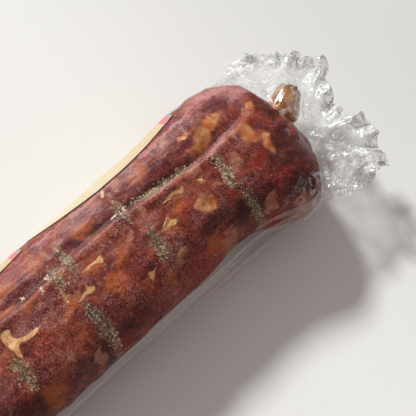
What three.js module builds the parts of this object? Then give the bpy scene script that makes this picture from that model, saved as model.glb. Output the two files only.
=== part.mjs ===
// A pressed, dry-cured sausage in a clear shrink bag, lying on its labelled side.
// Millimetres, +Z up. +X points to the head of the sausage, +Y to its left flank. The origin is
// the middle of the footprint, on the surface that the sausage lies on.
import * as THREE from "three";

// The sausage.
const LENGTH = 190; // of the stuffed body, without the tails of empty casing
const WIDTH = 54;
const HEIGHT = 38;
const SQUARENESS = 2.5; // exponent of the pressed, rounded-rectangle section
const FLAT_SHARE = 0.93; // the pressed underside cuts the section at this share of its half-height
const END_EXPONENT = { head_left: 13, head_right: 19, foot: 10, side_view: 9 }; // higher is blunter
const END_ROUNDING = 2.2;
const HEAD_SWELL = 0.04; // the head is this share taller than the rest
const HEAD_LOBE = { out: 6.8, from_end: 17, reach: 13 }; // the right flank bulges at the head
const WAIST = { out: -2.5, from_end: 44, reach: 9 }; // and draws in behind that bulge
const CREASE = { head_y: 5.5, foot_y: 9.5, depth: 2.6, reach: 3.2 }; // the long fold in the top

// Each end of the casing sinks to a narrow neck in a dimple, and spreads again as an empty tail.
const NECK = 4.2; // across
const TAIL_PROFILE = [
  { from_end: -0.6, width: 9.0, height: 8.6 },
  { from_end: -2.6, width: 8.6, height: 8.4 },
  { from_end: -3.2, width: NECK, height: NECK },
  { from_end: 0.3, width: NECK, height: NECK },
  { from_end: 1.1, width: 8.4, height: 6.2 },
  { from_end: 2.8, width: 12.0, height: 8.4 },
  { from_end: 6.0, width: 12.0, height: 9.0 },
  { from_end: 10.0, width: 10.6, height: 8.8 },
  { from_end: 13.4, width: 9.8, height: 8.2 },
  { from_end: 14.6, width: 8.4, height: 6.4 },
];
const TAIL_LEAN = { head: 28, foot: -12 }; // degrees towards the left flank
const TAIL_DROP = 1.5; // the tails leave the ends this far below the long axis
const DIMPLE_LIP = 1; // the skin turns in to the dimple this far before the end

// The twine that ties off each neck, down in its dimple.
const TWINE = 0.9;
const TWINE_TURNS = 2;
const TWINE_FROM_END = -1.4; // middle of the turns

// The shrink bag.
const FILM = 0.3; // thickness of the wall
const CLEARANCE = 0.45; // between the bag and the sausage
const FIN_TIP = { foot: 30.3, head: 34.8 }; // the slack folds into a fin along the right flank
const OVERHANG = 24; // of the flattened ends past the ends of the sausage
const FLAT_END = { left: 26.3, head_right: 38.5, foot_right: 33 }; // reach of a flattened end
const ROUNDED_CORNER = { left: 14, right: 9, exponent: 3 };
const PUCKER = { height: 2.4, waves: 5 };
const SLIT = 0.15; // half the gap between the two layers of a flattened end
const TENT = { start: -8, end: 12, height: 15.5 }; // how the bag comes down past a rounded end
const TAIL_POCKET = { height: 8.2, reach: 9, end: 15.5, fade: 4 }; // the bag around a tail

// The paper labels, stuck to the bag's underside and turned up over its left flank.
const PAPER = 0.3;
const PAPER_GAP = 0.3;
const PAPER_TOP = 45; // degrees above the widest line of the left flank
const PAPER_EDGE = -14; // where it ends across the underside
const LABELS = [
  { name: "label_head", from: -5, to: 64 },
  { name: "label_foot", from: -80, to: -9.5 },
];

// How finely the surfaces are divided.
const SECTION_STEPS = 32;
const BODY_STEPS = 36;
const BAG_END_STEPS = 8;
const PAPER_STEPS = { along: 8, around: 12 }; // around, as fine as the bag that it lies on
const TWINE_STEPS = 20;

const HALF_LENGTH = LENGTH / 2;
const HALF_WIDTH = WIDTH / 2;
const HALF_HEIGHT = HEIGHT / 2;
const FLAT_DROP = FLAT_SHARE * HALF_HEIGHT; // from the long axis down to the underside
const AXIS_Z = PAPER + PAPER_GAP + FILM + CLEARANCE + FLAT_DROP;

const radians = (degrees) => (degrees * Math.PI) / 180;
const { lerp, smoothstep } = THREE.MathUtils;
const signedPower = (value, exponent) => Math.sign(value) * Math.abs(value) ** exponent;

// Evenly spaced angles round a section, from the left flank up over the top.
const ANGLES = Array.from({ length: SECTION_STEPS }, (_, i) => (i / SECTION_STEPS) * 2 * Math.PI);

// Stations along the body, closer together towards its rounded ends.
const STATIONS = Array.from({ length: BODY_STEPS - 1 }, (_, i) => {
  return HALF_LENGTH * Math.sin(((i + 1) / BODY_STEPS - 0.5) * Math.PI);
});

// The share of the full width or height that is left at a station near a rounded end.
function endShare(x, exponent) {
  const along = Math.min(Math.abs(x) / HALF_LENGTH, 1);
  return (1 - along ** exponent) ** (1 / END_ROUNDING);
}

function bump(x, { out, from_end, reach }) {
  return out * Math.exp(-(((x - HALF_LENGTH + from_end) / reach) ** 2));
}

const swelledHalfHeight = (x) => HALF_HEIGHT * (1 + HEAD_SWELL * smoothstep(x, 40, 80));
const bodyHalfHeight = (x) => swelledHalfHeight(x) * endShare(x, END_EXPONENT.side_view);

// A point of a pressed section: a superellipse with its own reach to each side, cut flat below.
function sectionPoint(angle, left, right, height, drop) {
  const across = signedPower(Math.cos(angle), 2 / SQUARENESS);
  const up = signedPower(Math.sin(angle), 2 / SQUARENESS);
  return { y: across * (across > 0 ? left : right), z: Math.max(up * height, -drop) };
}

// Faces between rings of points. turned makes them face inwards.
function bandFaces(first, second, count, turned) {
  const faces = [];
  for (let i = 0; i < count; i++) {
    const j = (i + 1) % count;
    const [a, b, c, d] = [first + i, first + j, second + j, second + i];
    faces.push(...(turned ? [a, d, c, a, c, b] : [a, b, c, a, c, d]));
  }
  return faces;
}

function wallFaces(rings, start, turned) {
  const count = rings[0].length;
  return rings.slice(1).flatMap((_, r) => {
    return bandFaces(start + r * count, start + (r + 1) * count, count, turned);
  });
}

function meshOf(points, faces) {
  const geometry = new THREE.BufferGeometry().setFromPoints(points);
  geometry.setIndex(faces);
  return geometry;
}

// A solid from rings stacked along +X, shut at both ends by fans.
function solidOfRings(rings) {
  const count = rings[0].length;
  const points = rings.flat();
  const faces = wallFaces(rings, 0, false);
  for (const [ring, facesBack] of [
    [0, true],
    [points.length - count, false],
  ]) {
    const middle = new THREE.Vector3();
    for (let i = 0; i < count; i++) middle.add(points[ring + i]);
    const centre = points.push(middle.divideScalar(count)) - 1;
    for (let i = 0; i < count; i++) {
      const [a, b] = [ring + i, ring + ((i + 1) % count)];
      faces.push(...(facesBack ? [centre, b, a] : [centre, a, b]));
    }
  }
  return meshOf(points, faces);
}

// A thin-walled tube, open at both ends, from its outer and its inner rings.
function solidOfTube(outer, inner) {
  const count = outer[0].length;
  const innerStart = outer.length * count;
  const lastRing = (outer.length - 1) * count;
  return meshOf(
    [...outer.flat(), ...inner.flat()],
    [
      ...wallFaces(outer, 0, false),
      ...wallFaces(inner, innerStart, true),
      ...bandFaces(0, innerStart, count, true),
      ...bandFaces(lastRing, innerStart + lastRing, count, false),
    ],
  );
}

// Where the casing's tail starts and which way it leans. side is 1 at the head and -1 at the foot.
function tailFrame(side) {
  const lean = radians(side > 0 ? TAIL_LEAN.head : TAIL_LEAN.foot);
  return {
    root: new THREE.Vector3(side * HALF_LENGTH, 0, AXIS_Z - TAIL_DROP),
    along: new THREE.Vector3(side * Math.cos(lean), Math.sin(lean), 0),
    across: new THREE.Vector3(-side * Math.sin(lean), Math.cos(lean), 0),
  };
}

function tailRings(side) {
  const { root, along, across } = tailFrame(side);
  return TAIL_PROFILE.map(({ from_end, width, height }) => {
    return ANGLES.map((angle) => {
      const point = root.clone().addScaledVector(along, from_end);
      point.addScaledVector(across, (width / 2) * Math.cos(angle));
      point.z += (height / 2) * Math.sin(angle);
      return point;
    });
  });
}

function bodyRing(x) {
  const head = x > 0;
  const leftShare = endShare(x, head ? END_EXPONENT.head_left : END_EXPONENT.foot);
  const rightShare = endShare(x, head ? END_EXPONENT.head_right : END_EXPONENT.foot);
  const left = HALF_WIDTH * leftShare;
  const right = (HALF_WIDTH + bump(x, HEAD_LOBE) + bump(x, WAIST)) * rightShare;
  const creaseY = lerp(CREASE.foot_y, CREASE.head_y, smoothstep(x, -HALF_LENGTH, HALF_LENGTH));
  return ANGLES.map((angle) => {
    const { y, z } = sectionPoint(angle, left, right, bodyHalfHeight(x), FLAT_DROP);
    const topShare = Math.sqrt(Math.max(0, Math.sin(angle))) * leftShare ** 3;
    const fold = Math.exp(-(((y - creaseY) / CREASE.reach) ** 2)) * topShare;
    return new THREE.Vector3(x, y, AXIS_Z + z - CREASE.depth * fold);
  });
}

function sausageGeometry() {
  const stations = STATIONS.filter((x) => Math.abs(x) < HALF_LENGTH - DIMPLE_LIP);
  return solidOfRings([...tailRings(-1).reverse(), ...stations.map(bodyRing), ...tailRings(1)]);
}

// Touching turns of twine, drawn as one ring with a ridge for each turn.
function twineGeometry() {
  const turn = TWINE / 2;
  const inside = NECK / 2 + PAPER_GAP;
  const end = TWINE_TURNS * turn;
  const ridges = Array.from({ length: TWINE_TURNS }, (_, i) => {
    const middle = (2 * i + 1 - TWINE_TURNS) * turn;
    return [-55, 0, 55].map((degrees) => {
      const a = radians(degrees);
      return new THREE.Vector2(inside + turn * (0.7 + Math.cos(a)), middle + turn * Math.sin(a));
    });
  });
  const corners = [new THREE.Vector2(inside, -end), new THREE.Vector2(inside, end)];
  const profile = [corners[0], ...ridges.flat(), corners[1], corners[0].clone()];
  return new THREE.LatheGeometry(profile, TWINE_STEPS);
}

// Half the height of the bag's inside over the body and where it comes down past its ends.
function bagHalfHeight(x) {
  const past = Math.abs(x) - HALF_LENGTH;
  const hug = bodyHalfHeight(x) + CLEARANCE;
  if (past < TENT.start) return hug;
  const tent = TENT.height * (1 - (past - TENT.start) / (TENT.end - TENT.start));
  return Math.max(hug, tent, SLIT);
}

// Half the height of the pocket that the bag keeps open around a tail.
function tailPocket(x, y) {
  const past = Math.abs(x) - HALF_LENGTH;
  const lean = radians(x > 0 ? TAIL_LEAN.head : TAIL_LEAN.foot);
  const middle = Math.max(past, 0) * Math.tan(lean);
  const open = 1 - smoothstep(past, TAIL_POCKET.end, TAIL_POCKET.end + TAIL_POCKET.fade);
  const begun = smoothstep(past, -4, 2);
  return TAIL_POCKET.height * open * begun * Math.exp(-(((y - middle) / TAIL_POCKET.reach) ** 2));
}

// One ring of the bag. outward is 0 on the inner face of the film and its thickness on the outer.
function bagRing(x, outward) {
  const past = Math.abs(x) - HALF_LENGTH;
  const flattened = smoothstep(past, -12, 2);
  const finTip = lerp(FIN_TIP.foot, FIN_TIP.head, smoothstep(x, -20, 78));
  const hugRight = Math.min(HALF_WIDTH + bump(x, HEAD_LOBE) + CLEARANCE, finTip);
  const left = lerp(HALF_WIDTH + CLEARANCE, FLAT_END.left, flattened) + outward;
  const endReach = x > 0 ? FLAT_END.head_right : FLAT_END.foot_right;
  const tip = lerp(finTip, endReach, flattened) + outward;
  const right = lerp(hugRight, endReach, flattened) + outward;
  const height = bagHalfHeight(x) + outward;
  const finAngle = Math.acos(right / tip);
  return ANGLES.map((angle) => {
    const fromFin = Math.abs(angle - Math.PI);
    const under = angle > Math.PI ? 1 : -1;
    const onBody = fromFin < finAngle ? Math.PI + under * finAngle : angle;
    let { y, z } = sectionPoint(onBody, left, right, height, FLAT_DROP + CLEARANCE + outward);
    if (fromFin < finAngle) {
      y = lerp(-tip, y, fromFin / finAngle);
      z *= fromFin / finAngle;
    }
    const share = Math.abs(y) / (y > 0 ? left : tip);
    const up = Math.abs(Math.sin(angle)) < 1e-6 ? 0 : Math.sign(Math.sin(angle));
    if (past > -4) {
      const layer = (SLIT + outward) * Math.min(1, 4 * Math.sqrt(Math.max(0, 1 - share ** 2)));
      z = up * Math.hypot(Math.max(Math.abs(z), layer), tailPocket(x, y));
    }
    const atEdge = smoothstep(past, 6, OVERHANG);
    const wave = PUCKER.height * atEdge * Math.sin((y / WIDTH) * 2 * Math.PI * PUCKER.waves);
    const corner = y > 0 ? ROUNDED_CORNER.left : ROUNDED_CORNER.right;
    const pulledBack = Math.sign(x) * corner * atEdge * share ** ROUNDED_CORNER.exponent;
    return new THREE.Vector3(x - pulledBack, y, AXIS_Z + z + wave);
  });
}

function bagGeometry() {
  const ends = Array.from({ length: BAG_END_STEPS }, (_, i) => {
    return HALF_LENGTH + (OVERHANG * (i + 0.6)) / (BAG_END_STEPS - 0.4);
  });
  const alongBody = STATIONS.filter((x, i) => Math.abs(x) > HALF_LENGTH - 25 || i % 2 === 0);
  const stations = [...ends.map((x) => -x).reverse(), ...alongBody, ...ends];
  return solidOfTube(
    stations.map((x) => bagRing(x, FILM)),
    stations.map((x) => bagRing(x, 0)),
  );
}

// A strip of paper that follows the bag from its left flank down and under the sausage.
function labelGeometry({ from, to }) {
  const reach = CLEARANCE + FILM + PAPER_GAP;
  const layer = (x, outward) => {
    const left = HALF_WIDTH + reach + outward;
    const height = swelledHalfHeight(x) + reach + outward;
    const drop = FLAT_DROP + reach + outward;
    const flank = Array.from({ length: PAPER_STEPS.around }, (_, i) => {
      const angle = radians(lerp(PAPER_TOP, -90, i / PAPER_STEPS.around));
      const { y, z } = sectionPoint(angle, left, left, height, drop);
      return new THREE.Vector3(x, y, AXIS_Z + z);
    });
    return [...flank, new THREE.Vector3(x, PAPER_EDGE, AXIS_Z - drop)];
  };
  const outlines = Array.from({ length: PAPER_STEPS.along + 1 }, (_, i) => {
    const x = lerp(from, to, i / PAPER_STEPS.along);
    return [...layer(x, PAPER), ...layer(x, 0).reverse()];
  });
  const count = outlines[0].length;
  const faces = wallFaces(outlines, 0, true);
  const lastOutline = (outlines.length - 1) * count;
  for (let i = 0; i + 1 < count / 2; i++) {
    const [a, b, c, d] = [i, i + 1, count - 2 - i, count - 1 - i];
    faces.push(a, b, c, a, c, d);
    faces.push(...[a, c, b, a, d, c].map((k) => lastOutline + k));
  }
  return meshOf(outlines.flat(), faces);
}

const paint = (color, roughness, extra = {}) => {
  return new THREE.MeshStandardMaterial({ color, roughness, metalness: 0, ...extra });
};

const CURED_MEAT = paint(0x7a2a22, 0.45);
const COTTON_TWINE = paint(0xd8cfba, 0.9);
const CLEAR_FILM = paint(0xf4f4f2, 0.1, { transparent: true, opacity: 0.25 });
const LABEL_PAPER = paint(0xf1d9a4, 0.7);

const part = new THREE.Group();

function add(name, geometry, material) {
  const mesh = new THREE.Mesh(geometry, material);
  mesh.name = name;
  part.add(mesh);
  return mesh;
}

add("sausage", sausageGeometry(), CURED_MEAT);
for (const [name, side] of [
  ["twine_head", 1],
  ["twine_foot", -1],
]) {
  const { root, along } = tailFrame(side);
  const twine = add(name, twineGeometry(), COTTON_TWINE);
  twine.quaternion.setFromUnitVectors(new THREE.Vector3(0, 1, 0), along);
  twine.position.copy(root).addScaledVector(along, TWINE_FROM_END);
}
add("shrink_bag", bagGeometry(), CLEAR_FILM);
for (const label of LABELS) add(label.name, labelGeometry(label), LABEL_PAPER);

// The middle of the footprint becomes the origin.
const box = new THREE.Box3().setFromObject(part);
part.position.set(-(box.min.x + box.max.x) / 2, -(box.min.y + box.max.y) / 2, -box.min.z);

export default part;
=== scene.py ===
import math
import random

import bpy
import numpy as np
from mathutils import Matrix, Vector, noise
from mathutils.bvhtree import BVHTree


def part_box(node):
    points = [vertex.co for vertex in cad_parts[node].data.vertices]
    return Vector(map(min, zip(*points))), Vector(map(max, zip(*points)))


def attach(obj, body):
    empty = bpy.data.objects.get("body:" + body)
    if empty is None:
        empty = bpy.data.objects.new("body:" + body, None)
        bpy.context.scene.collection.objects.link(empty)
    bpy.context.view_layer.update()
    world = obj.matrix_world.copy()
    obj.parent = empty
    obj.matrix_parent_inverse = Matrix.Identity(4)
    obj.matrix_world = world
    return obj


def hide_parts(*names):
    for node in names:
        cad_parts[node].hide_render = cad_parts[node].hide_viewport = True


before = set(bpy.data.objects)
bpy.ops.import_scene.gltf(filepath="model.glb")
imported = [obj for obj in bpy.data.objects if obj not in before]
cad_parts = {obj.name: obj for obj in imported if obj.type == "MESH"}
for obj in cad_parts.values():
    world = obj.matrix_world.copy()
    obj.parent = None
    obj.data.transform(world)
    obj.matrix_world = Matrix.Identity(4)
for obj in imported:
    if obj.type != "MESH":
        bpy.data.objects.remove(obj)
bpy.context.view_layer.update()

# The camera stands over the right flank and looks steeply down on the head half of the sausage,
# so that the foot runs out of the view. A long lens keeps the two flanks parallel.
sausage_low, sausage_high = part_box("sausage")
MM = 0.001
LEFT_HALF = 27 * MM
HALF_LENGTH = 95 * MM
FLAT_DROP = 17.67 * MM  # from the long axis down to the pressed underside
CENTRE_Y = sausage_high.y - LEFT_HALF
AXIS_Z = sausage_low.z + FLAT_DROP
camera_target = Vector((HALF_LENGTH - 43.6 * MM, CENTRE_Y - 7.0 * MM, AXIS_Z))
CAMERA_AZIMUTH, CAMERA_ELEVATION = math.radians(-44.4), math.radians(67)
CAMERA_DISTANCE = 0.5
towards_camera = Vector(
    (
        math.sin(CAMERA_AZIMUTH) * math.cos(CAMERA_ELEVATION),
        -math.cos(CAMERA_AZIMUTH) * math.cos(CAMERA_ELEVATION),
        math.sin(CAMERA_ELEVATION),
    )
)
bpy.ops.object.camera_add(location=camera_target + towards_camera * CAMERA_DISTANCE)
camera = bpy.context.object
camera.rotation_mode = "QUATERNION"
camera.rotation_quaternion = towards_camera.to_track_quat("Z", "Y")
camera.data.lens = 120
camera.data.clip_start = 0.01
bpy.context.scene.camera = camera
bpy.context.scene.view_settings.view_transform = "Standard"
bpy.context.scene.cycles.transparent_max_bounces = 48


# The floor is a pale sheet of matt card, larger than any view of it.
def srgb(red, green, blue):
    """A colour as a shader takes it, from its usual 0 to 255 values."""
    shares = [value / 255 for value in (red, green, blue)]
    return [s / 12.92 if s <= 0.04045 else ((s + 0.055) / 1.055) ** 2.4 for s in shares] + [1.0]


def new_material(name):
    """An empty node material: its tree and its output node."""
    material = bpy.data.materials.new(name)
    material.use_nodes = True
    tree = material.node_tree
    tree.nodes.clear()
    return material, tree, tree.nodes.new("ShaderNodeOutputMaterial")


def node(tree, kind, inputs=None, **settings):
    """Adds a shader node. An input is a plain value or the output socket that feeds it."""
    made = tree.nodes.new(kind)
    for key, value in settings.items():
        setattr(made, key, value)
    for key, value in (inputs or {}).items():
        if isinstance(value, bpy.types.NodeSocket):
            tree.links.new(value, made.inputs[key])
        else:
            made.inputs[key].default_value = value
    return made


def object_coordinates(tree, scale=(1, 1, 1), turn=(0, 0, 0)):
    """Object coordinates in millimetres, stretched and turned."""
    source = node(tree, "ShaderNodeTexCoord").outputs["Object"]
    in_mm = [value / MM for value in scale]
    mapped = node(tree, "ShaderNodeMapping", {"Vector": source, "Scale": in_mm, "Rotation": turn})
    return mapped.outputs["Vector"]


def speckle(tree, coordinates, size, detail=3, roughness=0.5, distortion=0.0):
    """Noise whose features are about size millimetres across."""
    made = node(
        tree,
        "ShaderNodeTexNoise",
        {
            "Vector": coordinates,
            "Scale": 1 / size,
            "Detail": detail,
            "Roughness": roughness,
            "Distortion": distortion,
        },
    )
    return made.outputs["Fac"]


def between(tree, value, low, high, to_low=0.0, to_high=1.0):
    """A smooth step of value from low to high."""
    made = node(
        tree,
        "ShaderNodeMapRange",
        {"Value": value, "From Min": low, "From Max": high, "To Min": to_low, "To Max": to_high},
        interpolation_type="SMOOTHSTEP",
    )
    return made.outputs["Result"]


def sum_up(tree, operation, first, second):
    """One step of arithmetic on numbers or sockets."""
    return node(tree, "ShaderNodeMath", {0: first, 1: second}, operation=operation).outputs[0]


def product(tree, first, second):
    return sum_up(tree, "MULTIPLY", first, second)


def scaled(tree, value, by, plus):
    """value times by, plus a number or a socket."""
    inputs = {0: value, 1: by, 2: plus}
    return node(tree, "ShaderNodeMath", inputs, operation="MULTIPLY_ADD").outputs[0]


def bumped(tree, height, strength, distance, under=None):
    """The direction of a surface that height roughens, over an earlier roughness."""
    inputs = {"Height": height, "Strength": strength, "Distance": distance}
    if under is not None:
        inputs["Normal"] = under
    return node(tree, "ShaderNodeBump", inputs).outputs["Normal"]


def surfaced(tree, output, inputs):
    """Gives a material its surface: one shader with these inputs."""
    shader = node(tree, "ShaderNodeBsdfPrincipled", inputs)
    tree.links.new(shader.outputs[0], output.inputs["Surface"])


def blended(tree, share, under, over, blend_type="MIX"):
    """The colour over laid on the colour under, as far as share says."""
    made = node(
        tree,
        "ShaderNodeMix",
        {0: share, 6: under, 7: over},
        data_type="RGBA",
        blend_type=blend_type,
    )
    return made.outputs[2]


FLOOR_SIZE = 4.0
SHADE_FALL_OFF_START, SHADE_FALL_OFF_END = 40, 170  # millimetres; painted shade: the card is painted greyer past the head, where the lamp's light falls off
SHADE_FALL_OFF_SHARE = 0.26
bpy.ops.object.select_all(action="DESELECT")
bpy.ops.mesh.primitive_plane_add(size=FLOOR_SIZE)
floor = bpy.context.object
floor.name = "floor_card"
card, tree, output = new_material("pale_card")
grain = speckle(tree, object_coordinates(tree), 0.8, detail=4)
card_colour = blended(tree, between(tree, grain, 0.3, 0.7), srgb(228, 226, 222), srgb(233, 231, 228))
past_head = node(tree, "ShaderNodeSeparateXYZ", {"Vector": object_coordinates(tree)}).outputs["X"]
# Painted shade: the card is darkened past the head to stand in for the lamp's fall-off.
painted_shade_past_head = between(tree, past_head, SHADE_FALL_OFF_START, SHADE_FALL_OFF_END, 0, SHADE_FALL_OFF_SHARE)
card_colour = blended(tree, painted_shade_past_head, card_colour, srgb(140, 138, 132))
card_bump = bumped(tree, grain, 0.1, 0.1 * MM)
surfaced(tree, output, {"Base Color": card_colour, "Roughness": 0.9, "Normal": card_bump})
floor.data.materials.append(card)

# One large soft lamp stands beyond the left flank. The pale room around gives the rest.
KEY_AZIMUTH, KEY_ELEVATION = math.radians(78), math.radians(35.5)  # azimuth from +X towards +Y
KEY_DISTANCE, KEY_SIZE, KEY_POWER = 6.0, 1.0, 450.0
KEY_COLOUR = (0.95, 1.0, 0.99)
ROOM_FILL = 0.4
MIRRORED_DARK, MIRRORED_PALE = 0.08, 1.0  # what gloss mirrors on the lamp's far and near side
from_key = Vector(
    (
        math.cos(KEY_AZIMUTH) * math.cos(KEY_ELEVATION),
        math.sin(KEY_AZIMUTH) * math.cos(KEY_ELEVATION),
        math.sin(KEY_ELEVATION),
    )
)
bpy.ops.object.light_add(type="AREA", location=camera_target + from_key * KEY_DISTANCE)
key = bpy.context.object
key.data.shape = "DISK"
key.data.size = KEY_SIZE
key.data.energy = KEY_POWER
key.data.color = KEY_COLOUR
key.rotation_mode = "QUATERNION"
key.rotation_quaternion = from_key.to_track_quat("Z", "Y")
room = bpy.data.worlds.new("pale_room")
room.use_nodes = True
room_tree = room.node_tree
room_light = room_tree.nodes["Background"]
room_light.inputs["Color"].default_value = srgb(250, 239, 239)
is_mirrored = node(room_tree, "ShaderNodeLightPath").outputs["Is Glossy Ray"]
looking = node(room_tree, "ShaderNodeTexCoord").outputs["Generated"]
looking_left = node(room_tree, "ShaderNodeSeparateXYZ", {"Vector": looking}).outputs["Y"]
wall = between(room_tree, looking_left, 0.3, 0.95, MIRRORED_DARK, MIRRORED_PALE)
room_strength = node(room_tree, "ShaderNodeMix", {0: is_mirrored, 2: ROOM_FILL, 3: wall})
room_tree.links.new(room_strength.outputs[0], room_light.inputs["Strength"])
bpy.context.scene.world = room

# The sausage: coarse meat and fat in a natural casing, pressed while it dried, so that it has a
# rounded-rectangle section, a long fold in its top and faint dents where its net was tied.
RIGHT_HALF = 25.0 * MM
HALF_HEIGHT = 19 * MM
SQUARENESS = 2.5
END_ROUNDING = 2.2
TAIL_DROP = 1.5 * MM  # the tails leave the ends this far below the long axis
CREASE_ANGLE = math.radians(80)
DIMPLE = 3.4 * MM  # each neck of casing is drawn in by this much
HEAD_LEAN, FOOT_LEAN = math.radians(28), math.radians(-12)  # of the necks, to the left flank
NET_LINES = (60 * MM, 24 * MM, -7 * MM, -38 * MM, -70 * MM)  # where the net was drawn round


def smooth(value, low, high):
    share = np.clip((value - low) / (high - low), 0, 1)
    return share * share * (3 - 2 * share)


def hill(value, middle, reach, power=2):
    return np.exp(-(np.abs((value - middle) / reach) ** power))


def signed_power(value, power):
    return np.sign(value) * np.abs(value) ** power


def lumps(points, size, octaves=3, seed=0.0):
    """Noise at each point, about -1 to 1, with features about size across."""
    shift = Vector((seed, seed * 1.7, seed * 2.3))
    return np.array([noise.fractal(Vector(p) / size + shift, 0.8, 2.0, octaves) for p in points])


def end_share(x, exponent):
    along = np.clip(np.abs(x) / HALF_LENGTH, 0, 1)
    return (1 - along**exponent) ** (1 / END_ROUNDING)


def body_sides(x):
    """Reach of the body to its left flank, to its right flank and up, at each station."""
    left = LEFT_HALF * end_share(x, np.where(x > 0, 17, 10)) + 1.5 * MM * hill(x, 64 * MM, 13 * MM)
    lobe = 8.9 * MM * hill(x, 79 * MM, 13 * MM) - 1.6 * MM * hill(x, 50 * MM, 10 * MM)
    right = (RIGHT_HALF + lobe) * end_share(x, np.where(x > 0, 19, 10))
    tall = HALF_HEIGHT * (1 + 0.04 * smooth(x, 40 * MM, 80 * MM)) * end_share(x, 9)
    return left, right, tall


def section(angle, left, right, tall, drop):
    """A pressed section: a superellipse that flattens out on its underside."""
    across = signed_power(np.cos(angle), 2 / SQUARENESS)
    y = across * np.where(across > 0, left, right)
    z = signed_power(np.sin(angle), 2 / SQUARENESS) * tall
    soft = 0.5 * MM
    return y, -drop + soft * np.logaddexp(0, (z + drop) / soft)


def crease_y(x):
    """Where the long fold runs across the top."""
    return (4.4 + 4.1 * smooth(-x, -72 * MM, 5 * MM)) * MM + 0.9 * MM * np.sin(x / (11 * MM))


def crease_depth(x):
    fade = smooth(x, -88 * MM, -60 * MM) * (1 - smooth(x, 74 * MM, 86 * MM))
    return (1.5 + 1.9 * smooth(x, 5 * MM, 62 * MM)) * MM * fade


def fold_height(x, y):
    """The long fold: a steep right wall with a raised lip, and a longer left slope."""
    off = y - crease_y(x)
    valley = np.where(off > 0, hill(off, 0, 4.8 * MM, 1.4), hill(off, 0, 1.5 * MM, 1.8))
    return crease_depth(x) * (0.34 * hill(off, -3.4 * MM, 2.4 * MM) - valley)


def rolled(name, around, along, place):
    """A grid rolled into a closed skin. place gives each point for a turn and a length, 0 to 1."""
    bpy.ops.object.select_all(action="DESELECT")
    bpy.ops.mesh.primitive_grid_add(x_subdivisions=around, y_subdivisions=along, size=2)
    piece = bpy.context.object
    piece.name = name
    flat = points_of(piece)
    move_points(piece, place((flat[:, 0] + 1) / 2, (flat[:, 1] + 1) / 2))
    bpy.ops.object.mode_set(mode="EDIT")
    bpy.ops.mesh.select_all(action="SELECT")
    bpy.ops.mesh.remove_doubles(threshold=0.002 * MM)
    bpy.ops.mesh.normals_make_consistent(inside=False)
    bpy.ops.object.mode_set(mode="OBJECT")
    bpy.ops.object.shade_smooth()
    return piece


def points_of(piece):
    flat = np.empty(len(piece.data.vertices) * 3)
    piece.data.vertices.foreach_get("co", flat)
    return flat.reshape(-1, 3)


def normals_of(piece):
    flat = np.empty(len(piece.data.vertices) * 3)
    piece.data.vertices.foreach_get("normal", flat)
    return flat.reshape(-1, 3)


def move_points(piece, points):
    piece.data.vertices.foreach_set("co", np.ascontiguousarray(points, float).ravel())
    piece.data.update()


def paint_attribute(piece, name, values):
    layer = piece.data.attributes.new(name, "FLOAT", "POINT")
    layer.data.foreach_set("value", np.ascontiguousarray(values, np.float32))


def place_body(turn, length):
    t = length - 0.5
    x = HALF_LENGTH * (0.7 * np.sin(t * math.pi) + 0.3 * 2 * t)
    left, right, tall = body_sides(x)
    around = 2 * math.pi * turn
    angle = around - 0.45 * np.sin(around - CREASE_ANGLE)  # closest together at the long fold
    y, z = section(angle, left, right, tall, FLAT_DROP)
    from_neck = np.hypot(y, z + TAIL_DROP) + 40 * np.maximum(88 * MM - np.abs(x), 0)
    x = x - np.sign(x) * DIMPLE * (1 - smooth(from_neck, 1 * MM, 6.5 * MM))
    x = x + 1.2 * MM * smooth(x, 50 * MM, 92 * MM) * smooth(-y, -12 * MM, 8 * MM)
    return np.stack([x, y + CENTRE_Y, z + AXIS_Z], axis=1)


def labelled(x):
    """How far the stretch of the left flank at x is pressed smooth by its label."""
    return 1 - smooth(x, 58 * MM, 66 * MM)


def body_sculpt(points, normals):
    """How far each point of the body is pushed out along its normal."""
    x, y, z = points[:, 0], points[:, 1] - CENTRE_Y, points[:, 2] - AXIS_Z
    on_top = smooth(normals[:, 2], 0.2, 0.7)
    height = 0.75 * MM * lumps(points, 17 * MM, 2, 3.1)
    height += 0.42 * MM * lumps(points * (0.6, 1, 1), 5 * MM, 3, 9.4)
    for line in NET_LINES:
        wander = line + 1.5 * MM * np.sin(y / (7 * MM))
        height -= 0.7 * MM * hill(x, wander, 1.8 * MM) * (1 - 0.8 * (1 - on_top))
    wrinkled = smooth(x, 26 * MM, 50 * MM) * hill(y, 17 * MM, 6 * MM)
    ridges = 1 - np.abs(lumps(points * (0.22, 1, 1), 2.2 * MM, 2, 5.5))
    height += 0.5 * MM * wrinkled * (ridges - 0.7)
    height *= 1 - 0.75 * smooth(-normals[:, 2], 0.5, 0.95)  # the underside is pressed flat
    height *= 1 - 0.8 * labelled(x) * smooth(y, 17 * MM, 20 * MM)  # the labels keep it smooth
    height += fold_height(x, y) * on_top
    towards_end = smooth(np.abs(x), 84 * MM, 93 * MM)
    pleats = np.cos(13 * np.arctan2(z, y) + 2 * np.sin(3 * np.arctan2(z, y)))
    height += 0.35 * MM * towards_end * pleats
    return height * (1 - smooth(np.abs(x), 94.2 * MM, 94.8 * MM))


body = rolled("sausage_body", 208, 380, place_body)
smooth_points, smooth_normals = points_of(body), normals_of(body)
push = body_sculpt(smooth_points, smooth_normals)
move_points(body, smooth_points + smooth_normals * push[:, None])


def spots(points, places, fray):
    """The greatest closeness, 0 to 1, to frayed spots: x, y, half length, half width, turn."""
    x, y = points[:, 0] / MM + fray[0], (points[:, 1] - CENTRE_Y) / MM + fray[1]
    upper = points[:, 2] > AXIS_Z - 8 * MM
    nearest = np.zeros(len(points))
    for at_x, at_y, half_length, half_width, turn in places:
        c, s = math.cos(math.radians(turn)), math.sin(math.radians(turn))
        along = ((x - at_x) * c + (y - at_y) * s) / half_length
        across = ((y - at_y) * c - (x - at_x) * s) / half_width
        nearest = np.maximum(nearest, 1 - np.hypot(along, across) / 2)
    return np.where(upper, nearest, 0)
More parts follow.
